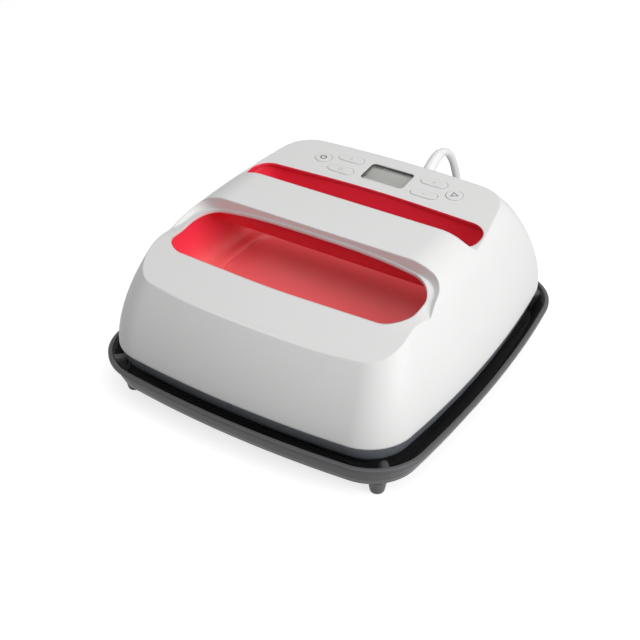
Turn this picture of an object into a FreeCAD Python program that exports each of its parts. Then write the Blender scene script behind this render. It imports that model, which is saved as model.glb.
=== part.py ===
import FreeCAD, Part
import math
import os

V = FreeCAD.Vector

# Frame: X to the right, Y to the rear, Z up; origin on the floor under the middle of the stand. Millimetres.

# White shell, measured at its lower edge
SHELL_HALF_X = 135.0
SHELL_HALF_Y = 144.9
SHELL_CORNER = 38.0
SIDE_BOW = 837.0
END_BOW = 922.0
SHELL_FOOT_Z = 45.6
HANDLE_TOP_Z = 136.3
SHELL_WALL = 2.8
CAP_THICKNESS = 6.3
ARCH_RADIUS = 40.0

# How far each wall has leaned in after LEAN_HEIGHT of climb, and how sharply it curves
LEAN_HEIGHT = 80.0
SIDE_LEAN = 24.3
SIDE_POWER = 1.86
FRONT_LEAN = 42.5
FRONT_POWER = 1.53
REAR_LEAN = 36.0
REAR_POWER = 1.57
CORNER_LOSS = 13.0

# Front deck, front opening and the face of the handle
DECK_EDGE_Y = 57.9 - SHELL_HALF_Y
DECK_EDGE_Z = 114.0
DECK_SLOPE = 0.43
DECK_CROWN = 0.0021
DECK_END_DROP = 9.5
OPENING_HALF_X = SHELL_HALF_X - 30.5
OPENING_FRONT_Y = 56.9 - SHELL_HALF_Y
HANDLE_FRONT_Y = -31.5
HANDLE_REAR_Y = 17.0
EDGE_LEDGE = 0.6

# Rear panel, tilted up towards the back
PANEL_MID_Y = SHELL_HALF_Y - 65.3
PANEL_MID_Z = 129.44
PANEL_SLOPE = 0.09
SLOT_HALF_X = SHELL_HALF_X - 29.5
SLOT_REAR_Y = SHELL_HALF_Y - 88.7

# Display and keys on the panel, in panel coordinates
DISPLAY_LENGTH = 39.2
DISPLAY_WIDTH = 23.3
DISPLAY_CORNER = 3.2
KEY_ROUND_R = 6.8
KEY_PILL_LENGTH = 23.0
KEY_PILL_WIDTH = 9.0
KEY_GAP = 0.3
KEY_PROUD = 0.4
KEY_TRAVEL = 0.8
ROUND_KEY_X = 61.0
PILL_KEY_X = 38.7
UPPER_KEY_V = 8.4
LOWER_KEY_V = -9.5

# Red recess under the handle
TUB_HALF_X = SHELL_HALF_X - 29.0
TUB_FRONT_Y = OPENING_FRONT_Y + 0.6
TUB_REAR_Y = SLOT_REAR_Y + 0.6
TUB_FLOOR_Z = 78.0
TUB_WALL = 2.2
GRIP_DEPTH = 25.5
GRIP_GAP = 0.2

# Heating plate, its element and the layers above it
PLATE_HALF = SHELL_HALF_X - 20.7
PLATE_CORNER = 22.0
PLATE_CHAMFER = 1.0
PLATE_BOTTOM_Z = 20.0
PLATE_THICKNESS = 10.0
ELEMENT_R = 3.3
ELEMENT_PITCH = 36.0
ELEMENT_REACH = 90.0
ELEMENT_LEG_Y = PLATE_HALF - 18.3
ELEMENT_TOP_Z = 52.0
ELEMENT_LEG_SITES = [(-2.5 * ELEMENT_PITCH, ELEMENT_LEG_Y), (2.5 * ELEMENT_PITCH, ELEMENT_LEG_Y)]
LEG_HOLE_R = 5.5
BOSS_R = 5.0
BOSS_HEIGHT = 4.0
BOSS_SITES = [(72.0, 36.0), (-72.0, 36.0), (72.0, -36.0), (-72.0, -36.0)]
SCREW_R = 2.0
SHELL_SCREW_R = 1.5
FIT_GAP = 0.05
CUTOUT_SITE = (0.0, -10.0)
CUTOUT_R = 8.0
SENSOR_SITE = (36.0, 0.0)
WIRE_HOLE = (0.0, 20.0)
BOARD_THICKNESS = 5.0
SHIELD_SHEET = 1.0
SPACER_HEIGHT = 4.0

# Dark lower housing
HOUSING_DECK_Z = 44.0
HOUSING_DECK_THICKNESS = 3.0
SKIRT_BOTTOM_Z = 24.0
SKIRT_WALL = 2.5
SKIRT_TOP_INSET = 1.5
SKIRT_DRAW = 11.5
PLATE_CLEARANCE = 2.2
TONGUE_GAP = 0.3
TONGUE_INSET = 3.8
TONGUE_HEIGHT = 4.0

# Power board behind the recess
POWER_BOARD_MID = (-45.0, PANEL_MID_Y + 8.4)
POWER_BOARD_HALF_X = 36.0
POWER_BOARD_HALF_Y = 24.0
STANDOFF_HEIGHT = 5.0
STANDOFF_SITES = [(POWER_BOARD_MID[0] + sx * 32.0, POWER_BOARD_MID[1] + sy * 20.0)
                  for sx in (-1, 1) for sy in (-1, 1)]

# Stand
LIP_Z = 34.0
TRAY_HALF_X = SHELL_HALF_X + 7.1
TRAY_HALF_Y = SHELL_HALF_Y + 4.9
TRAY_CORNER = SHELL_CORNER + 5.8
TRAY_SIDE_BOW = 966.0
TRAY_END_BOW = 893.0
LIP_WIDTH = 3.3
LIP_DEPTH = 3.2
TRAY_FLOOR_Z = 15.0
TRAY_BOTTOM_Z = 12.0
FOOT_X = TRAY_HALF_X - 30.6
FOOT_Y = TRAY_HALF_Y - 26.3
NUB_X = TRAY_HALF_X - 18.1
NUB_Y = TRAY_HALF_Y - 17.3
NUB_TOP_Z = 31.5
NUB_GAP = 0.6
PAD_TOP_Z = 18.0
PAD_CORNER = 30.0

# Mains cord, its strain relief and what holds it inside
CORD_D = 7.2
EXIT_X = 10.0
EXIT_Y = SHELL_HALF_Y - 20.9
EXIT_Z = 102.8
EXIT_RISE = 41.0
BOOT_INSIDE = 8.4
BOOT_OUTSIDE = 12.0
CABLE_DEPTH = 69.8
CLAMP_DEPTH = 38.0
TERMINAL_Y = SHELL_HALF_Y - 70.9

# Coil of the put-away cord, with its turns a pitch apart in layers a pitch high
COIL_X = -54.0
COIL_Y = SHELL_HALF_Y + 66.1
COIL_OUTER_R = 43.0
COIL_PITCH = 7.8
COIL_LOW_Z = 4.5
COIL_LAYERS = 4
LAYER_QUARTERS = 6
TIE_SHEET = 0.6
TIE_GAP = 0.3
TIE_WIDTH = 7.0
PLUG_X = -118.0
PLUG_Y = SHELL_HALF_Y + 59.1
PLUG_Z = 10.5
PLUG_LENGTH = 32.0

# Routes of the loose stretches, chosen point by point as x, distance behind the shell's widest rear and height:
# from the strain relief down onto the coil's top turn, and from its lowest turn along the floor to the plug
LEAD_POINTS = [(10, -11.84, 110.67), (10, -1.9, 119.3), (10, 12.1, 122.2), (10, 25.7, 117.2), (10, 36.7, 105.2),
               (10, 45.6, 86.5), (10, 52, 66), (8.5, 58.5, 48.5), (4, 69.5, 36.5), (-3.5, 83, 30.5),
               (-12.5, 95.5, 28.3), (-23.5, 104.8, 27.9), (-35.3, 109.1, 27.9), (-46.8, 109.1, 27.9)]
TAIL_POINTS = [(-61.2, 109.1, 4.5), (-77, 109.1, 4.5), (-93, 105.1, 4.5), (-106.5, 96.1, 6), (-115, 83.1, 8.5),
               (-118, 69.6, 10.5), (-118, 59.1, 10.5)]


def corner_centre(half_x, half_y, bow_x, bow_y, corner):
    """Centre of the corner arc that is tangent to both bowed sides of a rounded square."""
    x = half_x - corner
    y = half_y - corner
    for _ in range(30):
        along_x = x - (half_x - bow_x)
        along_y = y - (half_y - bow_y)
        miss_x = along_x * along_x + y * y - (bow_x - corner) ** 2
        miss_y = x * x + along_y * along_y - (bow_y - corner) ** 2
        det = 4.0 * (along_x * along_y - x * y)
        x -= (miss_x * 2.0 * along_y - miss_y * 2.0 * y) / det
        y -= (miss_y * 2.0 * along_x - miss_x * 2.0 * x) / det
    return x, y


def outline(half_x, half_y, corner, z, y_mid=0.0, bow_x=SIDE_BOW, bow_y=END_BOW):
    """Closed wire of eight arcs: a square with bowed sides and round corners."""
    cx, cy = corner_centre(half_x, half_y, bow_x, bow_y, corner)
    ang_x = math.atan2(cy, cx - (half_x - bow_x))
    ang_y = math.atan2(cy - (half_y - bow_y), cx)
    ang_mid = 0.5 * (ang_x + ang_y)
    end_x = (half_x - bow_x + bow_x * math.cos(ang_x), bow_x * math.sin(ang_x))
    end_y = (bow_y * math.cos(ang_y), half_y - bow_y + bow_y * math.sin(ang_y))
    mid = (cx + corner * math.cos(ang_mid), cy + corner * math.sin(ang_mid))

    def at(point, sign_x, sign_y):
        return V(point[0] * sign_x, point[1] * sign_y + y_mid, z)

    arcs = []
    for sign_x, sign_y in ((1, 1), (-1, -1)):
        arcs.append((at(end_x, sign_x, -sign_y), V(half_x * sign_x, y_mid, z), at(end_x, sign_x, sign_y)))
        arcs.append((at(end_x, sign_x, sign_y), at(mid, sign_x, sign_y), at(end_y, sign_x, sign_y)))
        arcs.append((at(end_y, sign_x, sign_y), V(0, half_y * sign_y + y_mid, z), at(end_y, -sign_x, sign_y)))
        arcs.append((at(end_y, -sign_x, sign_y), at(mid, -sign_x, sign_y), at(end_x, -sign_x, sign_y)))
    return Part.Wire([Part.Arc(*three).toShape() for three in arcs])


def rounded_polygon(points, radii):
    """Closed wire through the points, each corner rounded with its own radius."""
    ends = []
    for i, corner in enumerate(points):
        before = points[i - 1] - corner
        after = points[(i + 1) % len(points)] - corner
        before.normalize()
        after.normalize()
        if radii[i] <= 0:
            ends.append((corner, corner, None))
            continue
        half_angle = before.getAngle(after) / 2.0
        reach = radii[i] / math.tan(half_angle)
        inward = before + after
        inward.normalize()
        middle = corner + inward * (radii[i] / math.sin(half_angle) - radii[i])
        ends.append((corner + before * reach, corner + after * reach, middle))
    edges = []
    for i, (start, end, middle) in enumerate(ends):
        if middle is not None:
            edges.append(Part.Arc(start, middle, end).toShape())
        edges.append(Part.LineSegment(end, ends[(i + 1) % len(ends)][0]).toShape())
    return Part.Wire(edges)


def rounded_box(half_x, half_y, corner, z_low, z_high, x_mid=0.0, y_mid=0.0):
    """Upright block with round vertical edges."""
    points = [V(x_mid + sx * half_x, y_mid + sy * half_y, z_low)
              for sx, sy in ((-1, -1), (1, -1), (1, 1), (-1, 1))]
    return Part.Face(rounded_polygon(points, [corner] * 4)).extrude(V(0, 0, z_high - z_low))


def fuse_all(shapes):
    """One shape from several that touch or overlap."""
    return shapes[0].multiFuse(shapes[1:]).removeSplitter()


def wall_half_x(z):
    """Half width of the shell at a height, before the handle's arch begins."""
    climb = max((z - SHELL_FOOT_Z) / LEAN_HEIGHT, 0.0)
    return SHELL_HALF_X - SIDE_LEAN * climb ** SIDE_POWER


def wall_y(z):
    """Front and rear reach of the shell at a height."""
    climb = max((z - SHELL_FOOT_Z) / LEAN_HEIGHT, 0.0)
    front = SHELL_HALF_Y - FRONT_LEAN * climb ** FRONT_POWER
    rear = SHELL_HALF_Y - REAR_LEAN * climb ** REAR_POWER
    return front, rear


def corner_radius(z):
    """Corner radius of the shell at a height."""
    return SHELL_CORNER - CORNER_LOSS * max((z - SHELL_FOOT_Z) / LEAN_HEIGHT, 0.0)


def arch_profile(steps):
    """Heights and half widths where the side wall rolls over into the flat top of the handle."""
    low = SHELL_FOOT_Z + ARCH_RADIUS
    high = HANDLE_TOP_Z
    for _ in range(60):
        z = 0.5 * (low + high)
        lean = (wall_half_x(z + 0.05) - wall_half_x(z - 0.05)) / 0.1
        length = math.hypot(1.0, lean)
        centre_x = wall_half_x(z) - ARCH_RADIUS / length
        centre_z = z + ARCH_RADIUS * lean / length
        if centre_z > HANDLE_TOP_Z - ARCH_RADIUS:
            high = z
        else:
            low = z
    start = math.atan2(z - centre_z, wall_half_x(z) - centre_x)
    profile = []
    for i in range(steps + 1):
        angle = start + (math.pi / 2 - start) * i / steps
        profile.append((centre_z + ARCH_RADIUS * math.sin(angle), centre_x + ARCH_RADIUS * math.cos(angle)))
    return profile


def envelope(inset, top_drop, start_z):
    """Solid bounded by the shell's walls and arched top, moved in by inset and down by top_drop."""
    arch = arch_profile(6)
    arch_z = arch[0][0]
    count = 8
    levels = [start_z + (arch_z - start_z) * i / count for i in range(count)]
    profile = [(z, wall_half_x(z)) for z in levels] + arch
    wires = []
    for z, half_x in profile:
        front, rear = wall_y(z)
        share = max(z - arch_z, 0.0) / (HANDLE_TOP_Z - arch_z)
        half_y = 0.5 * (front + rear) - inset
        corner = corner_radius(z) - inset
        wires.append(outline(half_x - inset, half_y, corner, z - top_drop * share, 0.5 * (rear - front)))
    return Part.makeLoft(wires, True, False)


def deck_height(x, y):
    """Height of the front deck, carried on smoothly across the opening."""
    run = y - DECK_EDGE_Y
    height = DECK_EDGE_Z + DECK_SLOPE * run - DECK_CROWN * max(run, 0.0) ** 2
    share = min(max(run / 37.0, 0.0), 1.0)
    share = share * share * (3.0 - 2.0 * share)
    return height - share * DECK_END_DROP * min(abs(x) / OPENING_HALF_X, 1.3) ** 3


def above_deck(drop):
    """Everything over the front deck surface, the surface lowered by drop."""
    rows = []
    for i in range(18):
        y = 10.0 * i - 35.1 - SHELL_HALF_Y
        rows.append([V(x, y, deck_height(x, y) - drop) for x in range(-180, 181, 20)])
    surface = Part.BSplineSurface()
    surface.interpolate(rows)
    return surface.toShape().extrude(V(0, 0, 120.0))


def above_panel(drop):
    """Everything over the rear panel plane, the plane lowered by drop."""
    low_y = 0.0
    high_y = 180.0
    low_z = PANEL_MID_Z + PANEL_SLOPE * (low_y - PANEL_MID_Y) - drop
    high_z = PANEL_MID_Z + PANEL_SLOPE * (high_y - PANEL_MID_Y) - drop
    points = [V(-200, low_y, low_z), V(-200, high_y, high_z), V(-200, high_y, 200), V(-200, low_y, 200)]
    return Part.Face(Part.makePolygon(points + points[:1])).extrude(V(400, 0, 0))


def sweep_away(side, face_y, grow):
    """Wide cutter that clears one side of the handle; its end faces flare out and fade into the side walls."""
    far_y = side * 230.0
    wires = []
    for z, near, far, radius in ((100.0, 78.0, 262.0, 14.0), (138.0, 128.6, 190.0, 32.0)):
        points = [V(-far - grow, far_y, z), V(-near - grow, face_y, z), V(near + grow, face_y, z),
                  V(far + grow, far_y, z)]
        wires.append(rounded_polygon(points, [0, radius + grow, radius + grow, 0]))
    return Part.makeLoft(wires, True, True)


def front_opening():
    """Upright cutter for the opening in front of the handle."""
    edge_y = HANDLE_FRONT_Y - EDGE_LEDGE
    corner_y = OPENING_FRONT_Y + 3.0
    points = [V(0, OPENING_FRONT_Y, 60), V(OPENING_HALF_X, corner_y, 60), V(OPENING_HALF_X, edge_y, 60),
              V(-OPENING_HALF_X, edge_y, 60), V(-OPENING_HALF_X, corner_y, 60)]
    return Part.Face(rounded_polygon(points, [900.0, 20.0, 20.0, 20.0, 20.0])).extrude(V(0, 0, 100))


def rear_slot():
    """Upright cutter for the finger slot behind the handle."""
    edge_y = HANDLE_REAR_Y + EDGE_LEDGE
    corner_y = SLOT_REAR_Y - 4.0
    points = [V(-SLOT_HALF_X, edge_y, 60), V(SLOT_HALF_X, edge_y, 60), V(SLOT_HALF_X, corner_y, 60),
              V(0, SLOT_REAR_Y + 1.2, 60), V(-SLOT_HALF_X, corner_y, 60)]
    return Part.Face(rounded_polygon(points, [16.0, 16.0, 16.0, 900.0, 16.0])).extrude(V(0, 0, 100))


def on_panel(shape):
    """Moves a shape from panel coordinates (x across, y up the panel, z out of it) to the product."""
    tilt = math.degrees(math.atan(PANEL_SLOPE))
    seat = FreeCAD.Placement(V(0, PANEL_MID_Y, PANEL_MID_Z), FreeCAD.Rotation(V(1, 0, 0), tilt))
    moved = shape.copy()
    moved.Placement = seat.multiply(shape.Placement)
    return moved


def key_prism(kind, margin, low, high):
    """Round or pill-shaped prism in panel coordinates, its outline grown by margin."""
    if kind == "round":
        return Part.makeCylinder(KEY_ROUND_R + margin, high - low, V(0, 0, low))
    half_y = KEY_PILL_WIDTH / 2 + margin
    return rounded_box(KEY_PILL_LENGTH / 2 + margin, half_y, half_y - 0.01, low, high)


KEYS = {
    "power_button": ("round", -ROUND_KEY_X, 0.0),
    "start_button": ("round", ROUND_KEY_X, 0.0),
    "temperature_button": ("pill", -PILL_KEY_X, UPPER_KEY_V),
    "timer_button": ("pill", -PILL_KEY_X, LOWER_KEY_V),
    "plus_button": ("pill", PILL_KEY_X, UPPER_KEY_V),
    "minus_button": ("pill", PILL_KEY_X, LOWER_KEY_V),
}
FLANGE_TOP = -SHELL_WALL - FIT_GAP
FLANGE_THICKNESS = 1.0
STEM_BOTTOM = FLANGE_TOP - FLANGE_THICKNESS - 1.2
SWITCH_TOP = STEM_BOTTOM - KEY_TRAVEL - 0.2
BOARD_TOP = SWITCH_TOP - 2.0
BOARD_SHEET = 1.6
WINDOW_THICKNESS = 1.2
BOARD_POSTS = [(-70.0, -13.0), (70.0, -13.0), (-70.0, 13.0), (70.0, 13.0)]
POST_SITES = [(SHELL_HALF_X - 37.0, 44.9 - SHELL_HALF_Y), (37.0 - SHELL_HALF_X, 44.9 - SHELL_HALF_Y),
              (SHELL_HALF_X - 39.0, SHELL_HALF_Y - 60.9), (39.0 - SHELL_HALF_X, SHELL_HALF_Y - 60.9)]


def shell_posts():
    """Solid posts inside the shell that take the closing screws."""
    return [Part.makeCylinder(5.5, 80.0, V(x, y, HOUSING_DECK_Z + HOUSING_DECK_THICKNESS)) for x, y in POST_SITES]


def make_cavity():
    """Hollow inside of the shell."""
    cavity = envelope(SHELL_WALL, CAP_THICKNESS, SHELL_FOOT_Z - 6.0)
    front = above_deck(SHELL_WALL).common(sweep_away(-1, HANDLE_FRONT_Y + SHELL_WALL, SHELL_WALL))
    rear = above_panel(SHELL_WALL).common(sweep_away(1, HANDLE_REAR_Y - SHELL_WALL, SHELL_WALL))
    return cavity.cut(front).cut(rear)


def exit_axis():
    """Where the cord leaves the rear wall, and the direction it leaves in."""
    rise = math.radians(EXIT_RISE)
    return V(EXIT_X, EXIT_Y, EXIT_Z), V(0, math.cos(rise), math.sin(rise))


def make_shell(cavity):
    """White body with the bridge handle, front opening, finger slot, panel openings and screw posts."""
    outer = envelope(0.0, 0.0, SHELL_FOOT_Z)
    outer = outer.cut(above_deck(0.0).common(sweep_away(-1, HANDLE_FRONT_Y, 0.0)))
    outer = outer.cut(above_panel(0.0).common(sweep_away(1, HANDLE_REAR_Y, 0.0)))
    hollow = cavity
    for post in shell_posts():
        hollow = hollow.cut(post)
    shell = outer.cut(hollow).cut(front_opening()).cut(rear_slot())
    window = rounded_box(DISPLAY_LENGTH / 2, DISPLAY_WIDTH / 2, DISPLAY_CORNER, -8.0, 8.0)
    shell = shell.cut(on_panel(window))
    for kind, x, v in KEYS.values():
        hole = key_prism(kind, KEY_GAP, -8.0, 8.0)
        hole.translate(V(x, v, 0))
        shell = shell.cut(on_panel(hole))
    for x, v in BOARD_POSTS:
        post = Part.makeCylinder(3.0, 0.5 - BOARD_TOP - SHELL_WALL, V(x, v, BOARD_TOP))
        hole = Part.makeCylinder(1.0, 5.0, V(x, v, BOARD_TOP - 0.5))
        shell = shell.fuse(on_panel(post)).cut(on_panel(hole))
    for x, y in POST_SITES:
        shell = shell.cut(Part.makeCylinder(1.55, 14.0, V(x, y, HOUSING_DECK_Z)))
    point, direction = exit_axis()
    shell = shell.cut(Part.makeCylinder(5.6, 24.0, point - direction * 12.0, direction))
    return shell


def make_tub(cavity):
    """Red recess: a scooped bowl whose rim meets the inside of the shell, and the space inside it."""
    half_y = 0.5 * (TUB_REAR_Y - TUB_FRONT_Y)
    y_mid = 0.5 * (TUB_REAR_Y + TUB_FRONT_Y)
    levels = [(0.0, 26.0, 30.0), (2.6, 15.5, 26.0), (9.0, 7.0, 22.0), (19.0, 3.0, 19.0), (30.0, 1.0, 17.0),
              (41.0, 0.3, 16.0), (52.0, 0.0, 15.5), (63.0, 0.0, 15.5)]

    def bowl(grow):
        wires = []
        for rise, inset, corner in levels:
            z = TUB_FLOOR_Z + rise - grow * max(1.0 - rise / 6.0, 0.0)
            reach = grow - inset
            wires.append(outline(TUB_HALF_X + reach, half_y + reach, corner + grow, z, y_mid, 4000.0, 2500.0))
        return Part.makeLoft(wires, True, False)

    inside = bowl(0.0)
    return bowl(TUB_WALL).common(cavity).cut(inside), inside


def make_grip(tub_inside, cavity):
    """Red rounded bar that closes the underside of the handle, between the ends of the recess."""
    y_mid = 0.5 * (HANDLE_FRONT_Y + HANDLE_REAR_Y)
    half_y = 0.5 * (HANDLE_REAR_Y - HANDLE_FRONT_Y) - GRIP_GAP
    top_z = 130.0
    ends = [V(-120.0, y_mid - half_y, top_z), V(-120.0, y_mid + half_y, top_z)]
    curve = Part.Ellipse(V(-120.0, y_mid, top_z - GRIP_DEPTH), V(-120.0, y_mid + half_y, top_z),
                         V(-120.0, y_mid, top_z))
    lower = Part.ArcOfEllipse(curve, -math.pi / 2.0, math.pi / 2.0).toShape()
    face = Part.Face(Part.Wire([lower, Part.LineSegment(ends[0], ends[1]).toShape()]))
    bar = face.extrude(V(240.0, 0, 0))
    return bar.common(tub_inside).common(cavity)


def skirt_inset(z):
    """How far the skirt has drawn in from the shell's lower edge at a height."""
    fall = (SHELL_FOOT_Z - z) / (SHELL_FOOT_Z - SKIRT_BOTTOM_Z)
    return SKIRT_TOP_INSET + SKIRT_DRAW * fall ** 1.5


def skirt_form(grow, z_low, z_high):
    """Solid of the skirt's outside between two heights, grown or shrunk by grow."""
    steps = 4
    wires = []
    for i in range(steps + 1):
        z = z_low + (z_high - z_low) * i / steps
        reach = grow - skirt_inset(z)
        wires.append(outline(SHELL_HALF_X + reach, SHELL_HALF_Y + reach, SHELL_CORNER + reach, z))
    return Part.makeLoft(wires, True, False)


def slab(inset, z_low, z_high):
    """Plate with the shell's outline, drawn in by inset."""
    wire = outline(SHELL_HALF_X - inset, SHELL_HALF_Y - inset, SHELL_CORNER - inset, z_low)
    return Part.Face(wire).extrude(V(0, 0, z_high - z_low))


def pegs(sites, radius, z_low, z_high):
    """Upright cylinders at each site."""
    return [Part.makeCylinder(radius, z_high - z_low, V(x, y, z_low)) for x, y in sites]


def make_skirt():
    """Dark lower housing: a tucked-in skirt, the deck that closes the shell and a locating tongue."""
    deck_top = HOUSING_DECK_Z + HOUSING_DECK_THICKNESS
    skirt = skirt_form(0.0, SKIRT_BOTTOM_Z, SHELL_FOOT_Z)
    skirt = skirt.cut(skirt_form(-SKIRT_WALL, SKIRT_BOTTOM_Z + SKIRT_WALL, HOUSING_DECK_Z))
    opening = PLATE_HALF + PLATE_CLEARANCE
    skirt = skirt.cut(rounded_box(opening, opening, PLATE_CORNER, SKIRT_BOTTOM_Z - 1.0, SKIRT_BOTTOM_Z + 4.0))
    deck = slab(SHELL_WALL + TONGUE_GAP, HOUSING_DECK_Z, deck_top)
    tongue = slab(TONGUE_INSET, deck_top - 1.0, deck_top + TONGUE_HEIGHT)
    tongue = tongue.cut(slab(TONGUE_INSET + 2.0, deck_top - 2.0, deck_top + TONGUE_HEIGHT + 1.0))
    skirt = skirt.fuse(deck).fuse(tongue)
    holes = pegs(BOSS_SITES, SCREW_R + 0.3, HOUSING_DECK_Z - 5.0, deck_top + 1.0)
    holes += pegs(POST_SITES, SHELL_SCREW_R + 0.2, HOUSING_DECK_Z - 5.0, deck_top + 1.0)
    holes += pegs(ELEMENT_LEG_SITES, LEG_HOLE_R, HOUSING_DECK_Z - 5.0, deck_top + 1.0)
    holes += pegs([WIRE_HOLE], 6.0, HOUSING_DECK_Z - 5.0, deck_top + 1.0)
    for hole in holes:
        skirt = skirt.cut(hole)
    return skirt


def element_tube(radius):
    """Tube bent to and fro over the plate, both ends turned up at the rear."""
    z = PLATE_BOTTOM_Z + PLATE_THICKNESS
    bend = ELEMENT_PITCH / 2.0
    run_y = ELEMENT_REACH - bend
    xs = [ELEMENT_PITCH * (i - 2.5) for i in range(6)]
    lift = 8.0
    leg_y = ELEMENT_LEG_Y
    knee = lift * (1.0 - math.cos(math.pi / 4.0))
    edges = [Part.LineSegment(V(xs[0], leg_y, ELEMENT_TOP_Z), V(xs[0], leg_y, z + lift)).toShape(),
             Part.Arc(V(xs[0], leg_y, z + lift), V(xs[0], leg_y - knee, z + knee),
                      V(xs[0], leg_y - lift, z)).toShape()]
    y = leg_y - lift
    for i, x in enumerate(xs):
        last = i == len(xs) - 1
        side = -1 if i % 2 == 0 else 1
        end_y = leg_y - lift if last else side * run_y
        edges.append(Part.LineSegment(V(x, y, z), V(x, end_y, z)).toShape())
        if not last:
            turn = V(x + bend, side * ELEMENT_REACH, z)
            edges.append(Part.Arc(V(x, end_y, z), turn, V(xs[i + 1], end_y, z)).toShape())
        y = end_y
    edges.append(Part.Arc(V(xs[-1], leg_y - lift, z), V(xs[-1], leg_y - knee, z + knee),
                          V(xs[-1], leg_y, z + lift)).toShape())
    edges.append(Part.LineSegment(V(xs[-1], leg_y, z + lift), V(xs[-1], leg_y, ELEMENT_TOP_Z)).toShape())
    return swept_tube(Part.Wire(edges), V(xs[0], leg_y, ELEMENT_TOP_Z), V(0, 0, -1), radius)


def swept_tube(path, start, direction, radius):
    """Round bar along a path of lines and arcs."""
    ring = Part.Wire([Part.Circle(start, direction, radius).toShape()])
    return path.makePipeShell([ring], True, False)


def make_heat_plate():
    """Cast plate with four bosses and a bed for the element."""
    top = PLATE_BOTTOM_Z + PLATE_THICKNESS
    plate = rounded_box(PLATE_HALF, PLATE_HALF, PLATE_CORNER, PLATE_BOTTOM_Z, top)
    plate = plate.makeChamfer(PLATE_CHAMFER, [edge for edge in plate.Edges if edge.BoundBox.ZMax < top - 1.0])
    plate = plate.multiFuse(pegs(BOSS_SITES, BOSS_R, top - 1.0, top + BOSS_HEIGHT))
    for hole in pegs(BOSS_SITES, SCREW_R + FIT_GAP, PLATE_BOTTOM_Z + 4.0, top + BOSS_HEIGHT + 1.0):
        plate = plate.cut(hole)
    return plate.cut(element_tube(ELEMENT_R + FIT_GAP))


def make_insulation_board():
    """Board that keeps the heat off the housing, resting on the bosses."""
    low = PLATE_BOTTOM_Z + PLATE_THICKNESS + BOSS_HEIGHT
    board = rounded_box(PLATE_HALF - 3.3, PLATE_HALF - 3.3, PLATE_CORNER - 3.0, low, low + BOARD_THICKNESS)
    holes = pegs(BOSS_SITES, SCREW_R + 0.3, low - 1.0, low + 9.0)
    holes += pegs(ELEMENT_LEG_SITES, LEG_HOLE_R, low - 1.0, low + 9.0)
    holes += pegs([CUTOUT_SITE], CUTOUT_R + 1.0, low - 1.0, low + 9.0)
    for hole in holes:
        board = board.cut(hole)
    return board


def make_heat_shield():
    """Folded metal tray over the board, its rim turned down."""
    top = HOUSING_DECK_Z - SPACER_HEIGHT
    half = PLATE_HALF - 1.0
    shield = rounded_box(half, half, PLATE_CORNER - 1.0, top - 9.0, top)
    inner = half - SHIELD_SHEET
    shield = shield.cut(rounded_box(inner, inner, PLATE_CORNER - 2.0, top - 10.0, top - SHIELD_SHEET))
    holes = pegs(BOSS_SITES, SCREW_R + 0.3, top - 2.0, top + 1.0)
    holes += pegs(ELEMENT_LEG_SITES, LEG_HOLE_R, top - 2.0, top + 1.0)
    holes += pegs([WIRE_HOLE], 6.0, top - 2.0, top + 1.0)
    for hole in holes:
        shield = shield.cut(hole)
    return shield


def screw(x, y, head_z, head_r, head_height, shaft_r, end_z):
    """Screw with its head at head_z and its shaft reaching end_z, above or below it."""
    if end_z < head_z:
        profile = [(0, head_z + head_height), (head_r - 0.8, head_z + head_height), (head_r, head_z + 0.8),
                   (head_r, head_z), (shaft_r, head_z), (shaft_r, end_z), (0, end_z)]
    else:
        profile = [(0, head_z - head_height), (head_r - 0.8, head_z - head_height), (head_r, head_z - 0.8),
                   (head_r, head_z), (shaft_r, head_z), (shaft_r, end_z), (0, end_z)]
    return revolved(profile, x, y)


def revolved(profile, x, y):
    """Round piece from a closed profile of (radius, height) points about an upright axis at x, y."""
    points = [V(x + radius, y, z) for radius, z in profile]
    return Part.Face(Part.makePolygon(points + points[:1])).revolve(V(x, y, 0), V(0, 0, 1), 360)


def make_plate_screws():
    """Screws from the deck down through the spacers into the plate's bosses."""
    deck_top = HOUSING_DECK_Z + HOUSING_DECK_THICKNESS
    return [screw(x, y, deck_top, 3.8, 2.6, SCREW_R, PLATE_BOTTOM_Z + 4.5) for x, y in BOSS_SITES]


def make_shell_screws():
    """Screws from under the deck up into the shell's posts."""
    return [screw(x, y, HOUSING_DECK_Z, 3.0, 2.2, SHELL_SCREW_R, HOUSING_DECK_Z + 13.5) for x, y in POST_SITES]


def make_spacers():
    """Tubes that hold the heat shield off the deck."""
    spacers = []
    for x, y in BOSS_SITES:
        outer = Part.makeCylinder(5.0, SPACER_HEIGHT, V(x, y, HOUSING_DECK_Z - SPACER_HEIGHT))
        spacers.append(outer.cut(Part.makeCylinder(SCREW_R + 0.3, SPACER_HEIGHT,
                                                   V(x, y, HOUSING_DECK_Z - SPACER_HEIGHT))))
    return spacers


def make_thermal_cutout():
    """Disc thermostat with two tabs, seated on the plate."""
    x, y = CUTOUT_SITE
    low = PLATE_BOTTOM_Z + PLATE_THICKNESS
    body = Part.makeCylinder(CUTOUT_R, 4.0, V(x, y, low))
    body = body.fuse(Part.makeCylinder(CUTOUT_R - 2.0, 3.0, V(x, y, low + 3.0)))
    for side in (-1, 1):
        body = body.fuse(Part.makeBox(2.4, 4.0, 1.2, V(x + side * 3.5 - 1.2, y - 2.0, low + 5.8)))
    return body


def make_sensor():
    """Bead sensor in a small clamp block on the plate."""
    x, y = SENSOR_SITE
    low = PLATE_BOTTOM_Z + PLATE_THICKNESS
    block = rounded_box(4.5, 3.0, 1.0, low, low + 2.4, x, y)
    return block.fuse(Part.makeCylinder(1.2, 12.0, V(x - 6.0, y, low + 1.5), V(1, 0, 0)))


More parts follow.
